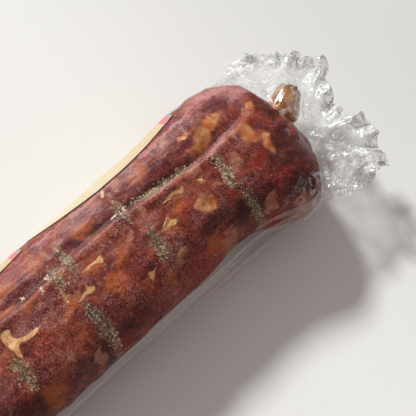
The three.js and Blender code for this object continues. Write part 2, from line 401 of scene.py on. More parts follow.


# Spots painted on the casing, of what shows through it and of painted shade and sheen: x, y from the
# centre line, half length, half width, turn.
FAT_SPOTS = (
    (66, 9.2, 10, 2.7, 16),
    (71, 10.6, 5.5, 2.6, 24),
    (76.5, -2, 4.5, 2.6, 70),
    (79, -8.5, 4, 2.2, 75),
    (84.4, 6, 3, 1.4, 20),
    (48.3, -11.4, 3.0, 2.0, 30),
    (58.7, 13.2, 2.4, 1.1, 10),
    (44.6, -9.6, 2.2, 1.5, 0),
)
ORANGE_SPOTS = (
    (38, 14.5, 6, 3.2, 10),
    (10, 12.8, 5, 3.2, 0),
    (-10.7, 14.6, 5, 3.4, 0),
    (-27, 15.5, 6, 3, 0),
    (12.5, -4.4, 4.5, 3.2, 30),
    (5, -10, 5.5, 3.6, 0),
    (-12, -6, 4, 3, 0),
    (-16, -16.5, 4.2, 3.0, 20),
    (21.2, -20.0, 4.5, 2.6, 0),
    (39.9, -5.7, 4, 2.2, 10),
    (40, -2.4, 3.6, 1.6, -10),
    (3.5, -1.2, 4, 2.0, 0),
    (40, -22, 4, 2.2, 0),
    (-30, 8.5, 5, 2.4, 0),
    (-36, -22, 5, 3.0, 0),
    (-22, 4, 5, 2.2, 20),
    (75, -31, 4, 2.6, 0),
    (-50, 2, 6, 3.4, 30),
    (-62, -12, 6, 4, 0),
    (-72, 8, 6, 4, 0),
)
PALE_SPOTS = (
    (64.5, -7.4, 3.4, 2.2, 60),
    (70.7, 0.3, 2.2, 1.5, 30),
    (51.8, 17.1, 2.4, 1.6, 40),
    (29.3, 17.9, 2.4, 1.8, 0),
    (18.5, -1.7, 3.0, 1.6, 10),
    (27.9, -17, 4.2, 1.7, 40),
    (46.9, -23, 4.5, 1.7, 10),
    (66.1, -24.5, 2.8, 1.7, 30),
    (51.2, -3.3, 1.5, 0.7, 0),
    (-23, -17.5, 2.6, 1.4, 60),
    (-15.2, -23, 3.0, 1.4, 30),
    (29, 2, 2.0, 1.4, 0),
    (-44, 6, 3, 2, 0),
    (-56, -18, 3.4, 2, 40),
)
RED_SPOTS = (
    (71.5, -11.4, 5.0, 3.6, 30),
    (80.5, 2.6, 5.5, 2.6, -50),
    (33, -22.7, 7.0, 3.6, 10),
    (66, -28.6, 6.0, 2.8, 0),
    (40, -7.5, 5.0, 2.6, 0),
    (73.8, -20.5, 4.0, 2.6, 0),
    (56, -13, 2.6, 1.8, 40),
    (-18, 17.8, 8, 3.4, 0),
    (-26, -9, 5, 3.4, 0),
    (-6, -25, 5, 3, 0),
    (-50, 14, 7, 4, 0),
)
# Painted sheen: pale colour for the wrap's reflection of the bright room along the upper left flank and
# beside the labels, and painted highlights on the lit lip of the fold.
PAINTED_SHEEN_SPOTS = (
    (80, 20.5, 13, 3.4, -8),
    (86, 15, 5, 4, 0),
    (56, 19.4, 24, 0.9, 2),
    (12, 19.8, 34, 0.8, -2),
    (-50, 20, 34, 0.8, 0),
    (66, 2.6, 9, 1.4, 12),
    (43, 3.2, 12, 0.6, -4),
)
BLOOM_SPOTS = (
    (28.2, -13.3, 6, 4, 30),
    (-18, -3, 10, 5, 0),
    (-30, -14, 8, 7, 40),
    (2, -15, 8, 5, 0),
    (50, -18, 6, 4, 10),
    (68, 3, 10, 3, 12),
    (18, 5, 12, 3, -8),
)
# Plum meat, and painted shade: the long bands beside the fold darken the slope that faces away from the
# lamp; the other spots are the meat's own plum tone.
PLUM_AND_SHADE_SPOTS = (
    (44, 11.2, 24, 2.4, -3),
    (8, 10.2, 18, 2.0, -4),
    (-22, 10.6, 16, 2.0, 0),
    (78, 15, 9, 4, -10),
    (-24, -1, 6, 3, 0),
    (-8, -13, 6, 4, 0),
    (55.7, -13, 3, 2.2, 0),
)
# Painted shade: darker meat on the head's shaded right side and end, at the waist, on the flank away from
# the lamp and along the shaded slope of the fold.
PAINTED_SHADE_SPOTS = (
    (84, -14, 11, 12, 0),
    (78, -27, 9, 6, 0),
    (89, 2, 4, 9, 0),
    (58, -21, 12, 4, 0),
    (46, -17, 10, 3.0, 0),
    (-20, 7.4, 22, 1.4, 0),
    (36, 7.4, 36, 1.8, -4),
    (-10, -23, 22, 3, 0),
    (30.5, 8.6, 10, 1.4, 0),
    (-44, -22, 14, 4, 0),
)
MOULD_SPOTS = (
    (60, -6.5, 6.5, 2.4, 76),
    (60, -21, 5, 2.2, 90),
    (24.5, -9.5, 6.5, 2.8, 76),
    (43, 5, 11, 1.5, -6),
    (-2, 7, 6.5, 2.0, 90),
    (-9, 4.5, 6, 2.2, 70),
    (23.5, 8, 6, 2.0, 90),
    (-8, -17, 9, 2.6, 90),
    (-38.5, -12, 7, 2.6, 90),
)
painted_points = points_of(body)
fray = [1.7 * lumps(painted_points, 3.4 * MM, 3, seed) for seed in (2.2, 6.6)]
for attribute, places in (
    ("fat", FAT_SPOTS),
    ("orange", ORANGE_SPOTS),
    ("pale", PALE_SPOTS),
    ("red", RED_SPOTS),
    ("painted_sheen", PAINTED_SHEEN_SPOTS),
    ("bloom", BLOOM_SPOTS),
    ("plum_and_shade", PLUM_AND_SHADE_SPOTS),
    ("painted_shade", PAINTED_SHADE_SPOTS),
    ("mould", MOULD_SPOTS),
):
    paint_attribute(body, attribute, spots(painted_points, places, fray))


def painted(tree, name):
    return node(tree, "ShaderNodeAttribute", attribute_name=name).outputs["Fac"]


def ragged(tree, name, wobble, low, high, amount):
    """A painted spot with an edge that noise has frayed."""
    frayed = scaled(tree, wobble, amount, -amount / 2)
    return between(tree, sum_up(tree, "ADD", painted(tree, name), frayed), low, high)


def ramp(tree, value, stops):
    """A colour for value, from a list of places and colours."""
    made = node(tree, "ShaderNodeValToRGB", {"Fac": value})
    elements = made.color_ramp.elements
    while len(elements) < len(stops):
        elements.new(0.5)
    for element, (place, colour) in zip(elements, stops):
        element.position = place
        element.color = colour
    return made.outputs["Color"]


meat, tree, output = new_material("marbled_meat")
plain = object_coordinates(tree)
broad = speckle(tree, plain, 13, detail=2)
marbling = speckle(tree, plain, 4.0, detail=6, roughness=0.62, distortion=0.7)
blotches = speckle(tree, object_coordinates(tree, turn=(1, 0.4, 0)), 6.5, detail=2.5, distortion=0.5)
pieces = speckle(tree, object_coordinates(tree, turn=(0, 1, 0.7)), 4.2, detail=2, distortion=0.8)
veiling = speckle(tree, object_coordinates(tree, turn=(0.5, 2, 0)), 7, detail=4, roughness=0.6)
fine = speckle(tree, plain, 0.9, detail=5, roughness=0.8)
dust = speckle(tree, object_coordinates(tree, turn=(2, 0.3, 1)), 0.62, detail=3, roughness=0.8)
crumbs = speckle(tree, plain, 0.95, detail=4, roughness=0.8, distortion=1.0)


def laid(coat, share, amount, colour):
    """One more tint in the meat, as far as share times amount."""
    return blended(tree, product(tree, share, amount), coat, colour)


tone = scaled(tree, marbling, 0.72, product(tree, broad, 0.28))
coat = ramp(
    tree,
    tone,
    (
        (0.33, srgb(72, 18, 20)),
        (0.43, srgb(104, 30, 30)),
        (0.51, srgb(126, 44, 34)),
        (0.59, srgb(144, 62, 40)),
        (0.70, srgb(166, 92, 60)),
    ),
)
coat = laid(coat, between(tree, blotches, 0.52, 0.7), 0.6, srgb(166, 82, 42))
coat = laid(coat, between(tree, pieces, 0.58, 0.72), 0.5, srgb(178, 122, 98))
coat = laid(coat, between(tree, pieces, 0.44, 0.3), 0.55, srgb(88, 18, 30))
coat = laid(coat, between(tree, veiling, 0.48, 0.68), 0.4, srgb(134, 82, 84))
# Dark plum laid where the plum and shade spots lie.
coat = laid(coat, ragged(tree, "plum_and_shade", blotches, 0.36, 0.85, 0.6), 0.75, srgb(84, 14, 32))
# Painted shade: dark red-brown laid where the shade spots lie.
coat = laid(coat, ragged(tree, "painted_shade", blotches, 0.32, 0.85, 0.6), 0.75, srgb(52, 14, 14))
coat = laid(coat, ragged(tree, "red", blotches, 0.38, 0.8, 0.6), 0.75, srgb(136, 32, 18))
coat = laid(coat, ragged(tree, "orange", blotches, 0.34, 0.82, 0.6), 0.7, srgb(176, 86, 34))
coat = laid(coat, ragged(tree, "pale", pieces, 0.4, 0.72, 0.5), 0.65, srgb(180, 122, 92))
fat_colour = blended(tree, between(tree, marbling, 0.4, 0.6), srgb(190, 98, 40), srgb(206, 148, 98))
grain = node(tree, "ShaderNodeCombineColor")
for channel in ("Red", "Green", "Blue"):
    tree.links.new(between(tree, fine, 0.32, 0.68, 0.5, 1.36), grain.inputs[channel])
coat = blended(tree, 1.0, coat, grain.outputs["Color"], "MULTIPLY")
coat = laid(coat, ragged(tree, "fat", blotches, 0.3, 0.74, 0.4), 0.88, fat_colour)
bloomed = between(tree, painted(tree, "bloom"), 0.2, 0.8, 0, 0.45)
dusty = sum_up(tree, "ADD", between(tree, veiling, 0.36, 0.6, 0.25, 0.8), bloomed)
dusty = product(tree, between(tree, dust, 0.52, 0.63), dusty)
# The pale dust is dimmed where shade is painted.
dusty = product(tree, dusty, between(tree, painted(tree, "painted_shade"), 0.3, 0.8, 1, 0.35))
coat = laid(coat, dusty, 0.58, srgb(206, 150, 130))
# Painted sheen and highlight: pale pink laid where the sheen spots lie.
coat = laid(coat, ragged(tree, "painted_sheen", fine, 0.34, 0.9, 0.5), 0.72, srgb(190, 130, 130))
mouldy = ragged(tree, "mould", crumbs, 0.48, 0.7, 1.1)
coat = laid(coat, mouldy, 0.55, srgb(116, 96, 74))
mould_grains = product(tree, mouldy, between(tree, crumbs, 0.52, 0.62))
coat = laid(coat, mould_grains, 0.8, srgb(212, 200, 160))
mould_pits = product(tree, mouldy, between(tree, crumbs, 0.46, 0.36))
coat = laid(coat, mould_pits, 0.8, srgb(38, 28, 24))
casing_bump = bumped(tree, marbling, 0.55, 0.7 * MM)
surfaced(
    tree,
    output,
    {
        "Base Color": coat,
        "Roughness": between(tree, fine, 0.3, 0.7, 0.5, 0.65),
        "Specular IOR Level": 0.14,
        "Subsurface Weight": 0.12,
        "Subsurface Radius": (1.0, 0.35, 0.2),
        "Subsurface Scale": 0.0012,
        "Normal": bumped(tree, fine, 0.5, 0.3 * MM, casing_bump),
    },
)
body.data.materials.append(meat)
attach(body, "root")
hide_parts("sausage")

# Flakes of fat that lie on the meat, right under the film: crisp, thin and pale.
skin = BVHTree.FromObject(body, bpy.context.evaluated_depsgraph_get())
FLAKE_THICKNESS = 0.22 * MM
# Outlines in millimetres: x along the sausage and y from its centre line.
FLAKES = (
    (
        (35.7, -0.7), (39.6, 0.3), (41.7, 0.1), (43.6, -0.5), (45.4, 0), (45.2, -1.6), (43.5, -2.8),
        (42, -1.9), (40.4, -1.3), (38.6, -1.6), (36.3, -1.3),
    ),
    (
        (27.6, -8), (29.9, -7.1), (32, -6.8), (33.6, -4.8), (33.8, -6.6), (35.3, -7.4), (35.4, -8.7),
        (33.5, -9.4), (32.3, -8.8), (31, -8.7), (29.5, -8.5), (27.6, -8.3),
    ),
    (
        (-1.8, 0.1), (1.7, 0.8), (4.7, 0.6), (7.4, 0.9), (7.5, -1.2), (6.2, -2.3), (4.5, -1),
        (2.8, -0.5), (0.9, -0.9), (-1.8, -0.4),
    ),
    (
        (-9.6, -6.7), (-6, -5.2), (-4.5, -5.2), (-3.5, -3), (-2.9, -5.2), (-1.3, -6.2), (-1.9, -7.5),
        (-3.9, -7.6), (-5.7, -6.9), (-7.7, -7.1), (-9.5, -7.1),
    ),
    (
        (-35.3, 3.1), (-32.9, 2.7), (-32.2, 1.5), (-33.2, 0.4), (-32.6, -1.8), (-30.3, -3),
        (-27.4, -3.3), (-24.8, -3.7), (-25.5, -5.3), (-28, -5.5), (-30.7, -5.1), (-32.7, -4.2),
        (-34.1, -5), (-34.5, -6.8), (-35.8, -8.9), (-36.6, -6.2), (-36.6, -4.2), (-36.8, -1.9),
        (-36.9, 1.4),
    ),
    (
        (-11.9, -1.2), (-11, -1.3), (-11.3, -4.8), (-12.3, -4.8),
    ),
    (
        (-11.5, -2), (-9.5, -2.4), (-9.6, -3.1), (-11.6, -2.9),
    ),
    (
        (49.9, -2.2), (51.1, -2.2), (52.6, -3.3), (51.8, -4.3), (50.5, -3.8),
    ),
    (
        (31.8, -16.5), (29.9, -15.9), (28.6, -15.8), (26.2, -17.4), (28.4, -17.5), (30, -17.2),
    ),
    (
        (25.4, 19.9), (25.2, 18), (23.5, 16.4), (22.6, 17.2), (23.8, 19),
    ),
    (
        (57.4, 13.4), (58.9, 13.9), (60.5, 12.8), (59, 11.9), (57.9, 12.4),
    ),
    (
        (14.5, -15.6), (15.2, -14.6), (17, -15.4), (18.6, -15.4), (17.2, -16.2), (15.6, -17.4),
        (14.8, -18.6), (14.3, -17),
    ),
    (
        (-54, 10), (-51, 12), (-48, 10.6), (-45, 11.6), (-46, 9.4), (-49, 8.8), (-52, 8),
    ),
    (
        (-66, -4), (-62, -2.4), (-59, -4.2), (-60.4, -6), (-63, -5.2), (-67, -7.6),
    ),
)


def rest_on_skin(x, y, lift):
    """The point over x and y that lies lift above the skin, and the skin's normal there."""
    above = Vector((x, y + CENTRE_Y, AXIS_Z + 40 * MM))
    found, normal, _, _ = skin.ray_cast(above, Vector((0, 0, -1)))
    if found is None:
        found, normal, _, _ = skin.find_nearest(Vector((x, y + CENTRE_Y, AXIS_Z)))
    return found + normal * lift, normal


def rounded_outline(corners, steps):
    """A smooth closed line through the corners, steps points to each."""
    points = []
    count = len(corners)
    for i in range(count):
        before, start, end, after = (Vector(corners[(i + k) % count]) for k in (-1, 0, 1, 2))
        for k in range(steps):
            t = k / steps
            pull = (end - before) * 0.3 * t * (1 - t) ** 2 - (after - start) * 0.3 * t * t * (1 - t)
            points.append(start * (1 - t * t * (3 - 2 * t)) + end * t * t * (3 - 2 * t) + pull)
    return points


def from_outline(points, outline):
    """How far each point lies from the closed outline."""
    starts = np.array([tuple(point) for point in outline])
    ways = np.roll(starts, -1, axis=0) - starts
    gaps = points[:, None, :] - starts
    shares = np.clip((gaps * ways).sum(2) / ((ways * ways).sum(1) + 1e-12), 0, 1)
    return np.linalg.norm(gaps - shares[..., None] * ways, axis=2).min(axis=1)


def add_flake(corners):
    """A flat sheet over the outline, cut finer, laid on the skin and given its thickness."""
    outline = rounded_outline(corners, 3)
    bpy.ops.object.select_all(action="DESELECT")
    bpy.ops.mesh.primitive_circle_add(vertices=len(outline), radius=1, fill_type="NGON")
    flake = bpy.context.object
    for vertex, point in zip(flake.data.vertices, outline):
        vertex.co = (point.x * MM, point.y * MM, 0)
    bpy.ops.object.mode_set(mode="EDIT")
    bpy.ops.mesh.select_all(action="SELECT")
    bpy.ops.mesh.inset(thickness=0.3 * MM)
    bpy.ops.mesh.select_all(action="SELECT")
    bpy.ops.mesh.quads_convert_to_tris(ngon_method="BEAUTY")
    bpy.ops.mesh.subdivide(number_cuts=2)
    bpy.ops.mesh.normals_make_consistent(inside=False)
    bpy.ops.object.mode_set(mode="OBJECT")
    inwards = from_outline(points_of(flake)[:, :2] / MM, outline)
    paint_attribute(flake, "inwards", inwards)
    for vertex in flake.data.vertices:
        vertex.co, _ = rest_on_skin(vertex.co.x, vertex.co.y, 0.03 * MM)
    thicken = flake.modifiers.new("thickness", "SOLIDIFY")
    thicken.thickness = FLAKE_THICKNESS
    thicken.offset = 1
    bpy.ops.object.modifier_apply(modifier=thicken.name)
    return flake


def joined(pieces, name):
    bpy.ops.object.select_all(action="DESELECT")
    for piece in pieces:
        piece.select_set(True)
    bpy.context.view_layer.objects.active = pieces[0]
    bpy.ops.object.join()
    whole = bpy.context.object
    whole.name = name
    bpy.ops.object.transform_apply(location=True, rotation=True, scale=True)
    bpy.ops.object.shade_smooth_by_angle(angle=math.radians(50))
    return whole


flakes = joined([add_flake(corners) for corners in FLAKES], "fat_flakes")
fat, tree, output = new_material("pale_fat")
strands = speckle(tree, object_coordinates(tree, scale=(1, 2.2, 1)), 1.6, detail=4, roughness=0.65)
fat_grain = speckle(tree, object_coordinates(tree), 0.5, detail=3)
fat_coat = blended(tree, between(tree, strands, 0.36, 0.64), srgb(196, 130, 66), srgb(224, 174, 112))
fat_coat = blended(tree, between(tree, fat_grain, 0.55, 0.75, 0, 0.5), fat_coat, srgb(240, 208, 158))
fat_shader = node(
    tree,
    "ShaderNodeBsdfPrincipled",
    {
        "Base Color": fat_coat,
        "Roughness": 0.5,
        "Subsurface Weight": 0.2,
        "Subsurface Radius": (1.0, 0.6, 0.35),
        "Subsurface Scale": 0.0008,
        "Normal": bumped(tree, strands, 0.5, 0.3 * MM),
    },
)
worn = scaled(tree, fat_grain, 0.5, painted(tree, "inwards"))
sunk_edge = node(tree, "ShaderNodeBsdfTransparent")
faded = node(
    tree,
    "ShaderNodeMixShader",
    {0: between(tree, worn, 0.2, 0.75), 1: sunk_edge.outputs[0], 2: fat_shader.outputs[0]},
)
tree.links.new(faded.outputs[0], output.inputs["Surface"])
flakes.data.materials.append(fat)
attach(flakes, "root")
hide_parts("sausage")

# Dried mould where the net was tied, a crumbly crust of small grains, each a thin chip, grown on the
# casing;
# and clumps of white chips by the fold that stand in for glints of the wrap: painted highlights.
# x, y from the centre line, half length, half width, turn, grains, how pale, towards which end.
CRUSTS = (
    (60.2, -3.4, 3.6, 1.7, 88, 120, 0.75, 0.2),
    (59.8, -10.5, 4.4, 1.9, 96, 190, 0.8, 0.2),
    (60, -21.4, 4.6, 1.9, 90, 130, 0.35, -0.3),
    (25.2, -5.8, 3.6, 1.5, 84, 110, 0.2, -0.1),
    (23.6, -12.8, 4.2, 2.2, 80, 220, 0.62, -0.5),
    (49, 4.6, 5.5, 0.8, -8, 120, 0.4, 0.2),
    (39.5, 6.0, 7.0, 1.1, -4, 260, 0.7, 0.1),
    (30.5, 7.6, 3.6, 0.6, -6, 60, 0.6, 0),
    (23.8, 7.6, 5.0, 1.0, 86, 80, 0.6, 0.2),
    (-2.5, 7.6, 5.2, 1.8, 80, 190, 0.55, 0.2),
    (-8.4, 4.0, 4.6, 1.8, 66, 130, 0.45, -0.2),
    (-8.2, -13, 4.6, 1.6, 88, 150, 0.2, -0.2),
    (-7.8, -20.4, 4.4, 2.0, 92, 230, 0.7, -0.5),
    (-38.4, -9.6, 3.6, 1.8, 90, 110, 0.3, -0.2),
    (-38.6, -14.8, 4.0, 2.0, 90, 190, 0.6, -0.4),
    (14.5, 2.6, 5.0, 0.5, 4, 60, 0.3, 0),
    (-70, -8, 7.0, 2.0, 90, 160, 0.5, -0.2),
    (-70, 6, 5.0, 2.0, 90, 110, 0.4, 0.2),
)
# Painted highlights: clumps of very pale chips where the wrap glints beside the fold.
GLINT_CHIPS = (
    (-11, 7.5, 1.1, 0.8, 40, 60, 1.6, 0),
    (-15, 4.7, 1.3, 0.8, 20, 60, 1.6, 0),
    (-22, 7.8, 1.3, 0.8, 20, 40, 1.4, 0),
    (25.4, 8.6, 1.0, 0.8, 0, 60, 1.6, 0),
    (21.4, 8.3, 3.2, 0.25, 6, 50, 1.4, 0),
)
bpy.ops.object.select_all(action="DESELECT")
bpy.ops.mesh.primitive_ico_sphere_add(subdivisions=1, radius=1)
crust_and_glints = bpy.context.object
crust_and_glints.name = "mould_crust_and_glints"
chip_points = points_of(crust_and_glints)
chip_faces = np.array([list(face.vertices) for face in crust_and_glints.data.polygons])
chips = random.Random(17)
all_chip_points, all_chip_faces, paleness = [], [], []
for at_x, at_y, half_length, half_width, turn, count, pale, lopsided in CRUSTS + GLINT_CHIPS:
    c, s = math.cos(math.radians(turn)), math.sin(math.radians(turn))
    laid_down = 0
    while laid_down < 0.8 * count:
        along, across = max(-1.6, min(1.6, chips.gauss(0, 0.6))), chips.gauss(0, 0.7)
        x = at_x + along * half_length * c - across * half_width * s
        y = at_y + along * half_length * s + across * half_width * c
        winding = noise.noise(Vector((along * 1.4, at_x, at_y)))
        x, y = x - 1.1 * winding * half_width * s, y + 1.1 * winding * half_width * c
        clump = noise.fractal(Vector((x / 1.5, y / 1.5, turn)), 0.7, 2.0, 3)
        if clump < chips.uniform(-0.15, 0.3):
            laid_down += 0.2
            continue
        laid_down += 1
        spot, normal = rest_on_skin(x * MM, y * MM, chips.uniform(0.0, 0.14) * MM)
        size = (0.07 + 0.16 * chips.random() ** 2.2) * MM
        stretch = (size * chips.uniform(1.0, 3.2), size, size * chips.uniform(0.4, 0.9))
        tilt = normal.to_track_quat("Z", "Y").to_matrix()
        spin = Matrix.Rotation(chips.uniform(0, math.tau), 3, "Z")
        turned = np.array(tilt @ spin) @ (chip_points * stretch).T
        all_chip_faces.append(chip_faces + len(all_chip_points) * len(chip_points))
        all_chip_points.append(turned.T + np.array(spot))
        share = pale + lopsided * along + 0.5 * clump - 0.1 + chips.gauss(0, 0.24)
        paleness += [share] * len(chip_points)
all_chips = bpy.data.meshes.new("mould_crust_and_glints")
all_chips.from_pydata(np.concatenate(all_chip_points).tolist(), [], np.concatenate(all_chip_faces).tolist())
crust_and_glints.data = all_chips
paint_attribute(crust_and_glints, "paleness", paleness)
mould, tree, output = new_material("mould_and_painted_glints")
chip_grain = speckle(tree, object_coordinates(tree), 0.3, detail=2)
chip_tone = scaled(tree, chip_grain, 0.3, painted(tree, "paleness"))
chip_colour = ramp(
    tree,
    chip_tone,
    (
        (0.05, srgb(34, 26, 22)),
        (0.3, srgb(70, 62, 44)),
        (0.55, srgb(132, 122, 86)),
        (0.8, srgb(196, 180, 128)),
        (1.0, srgb(228, 208, 178)),
    ),
)
surfaced(tree, output, {"Base Color": chip_colour, "Roughness": 0.6})
crust_and_glints.data.materials.append(mould)
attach(crust_and_glints, "root")
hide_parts("sausage")

# The empty casing past each knot dried into a hard amber bulb, folded over at its outer end.
TAIL_STATIONS = np.array([-3.3, -1.2, 0.2, 0.8, 1.6, 2.8, 6.0, 10.0, 13.4, 14.6]) * MM
TAIL_HALF_WIDTH = np.array([2.1, 1.95, 2.3, 3.9, 5.4, 6.1, 6.0, 5.2, 4.8, 4.2]) * MM
TAIL_HALF_HEIGHT = np.array([2.1, 1.95, 2.2, 3.0, 3.8, 4.3, 4.6, 4.4, 4.0, 3.2]) * MM
TAIL_ROWS_OUT = 0.8  # share of the rows from the neck to the rim; the rest close the mouth


def tail_frame(side):
    """Where a tail starts, the way it points, and the way across it."""
    lean = HEAD_LEAN if side > 0 else FOOT_LEAN
    root = np.array([side * HALF_LENGTH, CENTRE_Y, AXIS_Z - TAIL_DROP])
    along = np.array([side * math.cos(lean), math.sin(lean), 0])
    across = np.array([-math.sin(lean) * side, math.cos(lean), 0])
    return root, along, across


def place_tail(side):
    def place(turn, length):
        angle = 2 * math.pi * turn
        out = np.minimum(length / TAIL_ROWS_OUT, 1)
        closing = np.maximum(length - TAIL_ROWS_OUT, 0) / (1 - TAIL_ROWS_OUT)
        s = TAIL_STATIONS[0] + (TAIL_STATIONS[-1] - TAIL_STATIONS[0]) * out
        wide = np.interp(s, TAIL_STATIONS, TAIL_HALF_WIDTH)
        high = np.interp(s, TAIL_STATIONS, TAIL_HALF_HEIGHT)
        around = np.stack([np.cos(angle) * 2, np.sin(angle) * 2, s / (4 * MM)], axis=1)
        wobble = lumps(around * (1, 1, 0.5), 2.2, 2, 8.0 + side)
        sharp = 1 - np.abs(lumps(around * (1, 1, 0.25), 1.5, 2, 2.0 + side)) * 2
        swell = smooth(s, 0, 4 * MM)
        girth = 1 + 0.08 * swell * wobble + 0.07 * swell * (sharp - 0.7)
        girth = girth * (1 + 0.025 * np.cos(6 * angle + 2 * wobble) * (0.6 + swell))
        shut = np.sqrt(np.clip(1 - closing**2, 0, 1))
        y, z = wide * np.cos(angle) * girth * shut, high * np.sin(angle) * girth * shut
        rim = smooth(s, 11 * MM, 14.4 * MM)
        s = s + rim * 0.8 * MM * lumps(around, 1.1, 3, 5.0) - 1.6 * MM * closing**2
        s = np.where(closing >= 1, TAIL_STATIONS[-1] - 1.6 * MM, s)
        s = np.where(out <= 0, TAIL_STATIONS[0], s)
        y, z = np.where(out <= 0, 0, y), np.where(out <= 0, 0, z)
        root, along, across = tail_frame(side)
        points = root + s[:, None] * along + y[:, None] * across
        points[:, 2] += z
        return points

    return place


amber, tree, output = new_material("amber_casing")
drawn_along = object_coordinates(tree, scale=(0.4, 1, 1), turn=(0, 0, -0.5))
veins = speckle(tree, drawn_along, 1.8, detail=5, roughness=0.65)
clouds = speckle(tree, object_coordinates(tree), 3.5, detail=3)
amber_colour = ramp(
    tree,
    product(tree, sum_up(tree, "ADD", veins, clouds), 0.5),
    (
        (0.3, srgb(92, 44, 8)),
        (0.42, srgb(140, 80, 14)),
        (0.54, srgb(168, 104, 22)),
        (0.7, srgb(200, 142, 62)),
    ),
)
amber_colour = blended(tree, painted(tree, "darker_rim"), amber_colour, srgb(52, 22, 8))
surfaced(
    tree,
    output,
    {
        "Base Color": amber_colour,
        "Roughness": 0.2,
        "Subsurface Weight": 0.25,
        "Subsurface Radius": (1.0, 0.5, 0.15),
        "Subsurface Scale": 0.0015,
        "Coat Weight": 0.6,
        "Coat Roughness": 0.08,
        "Normal": bumped(tree, veins, 0.5, 0.4 * MM),
    },
)
for tail_name, side in (("casing_tail_head", 1), ("casing_tail_foot", -1)):
    tail = rolled(tail_name, 120, 130, place_tail(side))
    root, along, _ = tail_frame(side)
    reach = (points_of(tail) - root) @ along
    folded = lumps(points_of(tail), 1.6 * MM, 2, 3.0)
    # The folded outer end is painted darker, with a frayed edge.
    paint_attribute(tail, "darker_rim", 0.85 * smooth(reach + 1.2 * MM * folded, 12.2 * MM, 14.6 * MM))
    tail.data.materials.append(amber)
    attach(tail, "root")
    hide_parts("sausage")

# Two turns of cotton twine tie off each neck, down in its dimple. Three strands are twisted
# into one, and its ends are rounded off.
TWINE_RADIUS = 0.45 * MM
TWINE_TURNS = 2.2
TWINE_FROM_END = -1.4 * MM
TWINE_LAY = 2.4 * MM  # length of one twist of the strands


def place_twine(side):
    def place(turn, length):
        root, along, across = tail_frame(side)
        angle = 2 * math.pi * turn
        round_neck = 2 * math.pi * TWINE_TURNS * length
        ring = 2.15 * MM + TWINE_RADIUS
        twist = round_neck * ring / TWINE_LAY * 2 * math.pi
        strand = TWINE_RADIUS * (0.82 + 0.18 * np.abs(np.cos(1.5 * (angle - twist / 3))))
        strand = strand * np.sqrt(np.clip(1 - np.abs(2 * length - 1) ** 30, 0, 1))
        outwards = ring + strand * np.cos(angle)
        step = TWINE_FROM_END + 1.9 * TWINE_RADIUS * (length - 0.5) * TWINE_TURNS
        s = step + strand * np.sin(angle)
        points = root + s[:, None] * along
        points = points + (outwards * np.cos(round_neck))[:, None] * across
        points[:, 2] += outwards * np.sin(round_neck)
        return points

    return place


cotton, tree, output = new_material("cotton_twine")
fibres = speckle(tree, object_coordinates(tree), 0.25, detail=4, roughness=0.7)
cotton_colour = blended(tree, between(tree, fibres, 0.35, 0.65), srgb(196, 180, 148), srgb(232, 222, 200))
cotton_bump = bumped(tree, fibres, 0.6, 0.1 * MM)
surfaced(tree, output, {"Base Color": cotton_colour, "Roughness": 0.9, "Normal": cotton_bump})
for twine_name, side in (("twine_head", 1), ("twine_foot", -1)):
    twine = rolled(twine_name + "_turns", 24, 420, place_twine(side))
    twine.data.materials.append(cotton)
    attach(twine, "root")
    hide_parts(twine_name)

# The shrink bag: one clear tube of film, drawn tight round the sausage. Its slack lies as a
# pleated fin along the right flank, and both sealed ends are shrunk to a frilled edge.
FILM_GAP = 0.32 * MM
BAG_AROUND, BAG_ALONG = 400, 240
FLANGE_SHARE = 0.52  # of the rows, for both frilled ends together
FLAT_LEFT, HEAD_FLAT_RIGHT, FOOT_FLAT_RIGHT = 29 * MM, 40 * MM, 35 * MM  # a flattened end's reach
FIN_WIDTH = 0.62  # radians of the bag's turn that are drawn out into the fin
FIN_PLEATS = (0.16, 0.3, 0.43, 0.58, 0.7, 0.84)  # where its pleats run, from root to tip
FRILL_CENTRE = (76 * MM, -7 * MM)  # the frill fans out from here
FRILL_RADIUS = 33 * MM
RUFFLE_LENGTH, RUFFLE_HEIGHT, RUFFLE_SLIDE = 5.6 * MM, 2.3 * MM, 1.5 * MM
WAVE_LENGTH, WAVE_HEIGHT = 15 * MM, 2.0 * MM
HEM_RIPPLES = 2.13  # to one ruffle
BEAD_HEIGHT, BEAD_REACH = 0.22 * MM, 0.35 * MM  # the melted bead along the edge


def flange_reach(y):
    """How far the frilled end stands out past the body, across its width."""
    body_part = np.sqrt(np.clip(1 - np.abs((y + 6 * MM) / (36 * MM)) ** 8, 0, 1))
    tips = 9 * MM * hill(y, 6 * MM, 9 * MM) + 3 * MM * hill(y, -26 * MM, 6 * MM)
    return 0.5 * MM + 20 * MM * body_part + tips


def bag_angle(turn):
    """Angles round the bag, closer together at its fin."""
    return 2 * math.pi * turn + 0.6 * np.sin(2 * math.pi * turn)


def hugging(wrapped, y, z):
    """The way out of the body at each point of the film, and how far the body's dents push it."""
    normal = np.stack([0 * y, y / LEFT_HALF**2, z / HALF_HEIGHT**2], axis=1)
    normal /= np.linalg.norm(normal, axis=1, keepdims=True) + 1e-12
    push = body_sculpt(wrapped, normal)
    return normal, np.where(push < 0, push * 0.85, push)


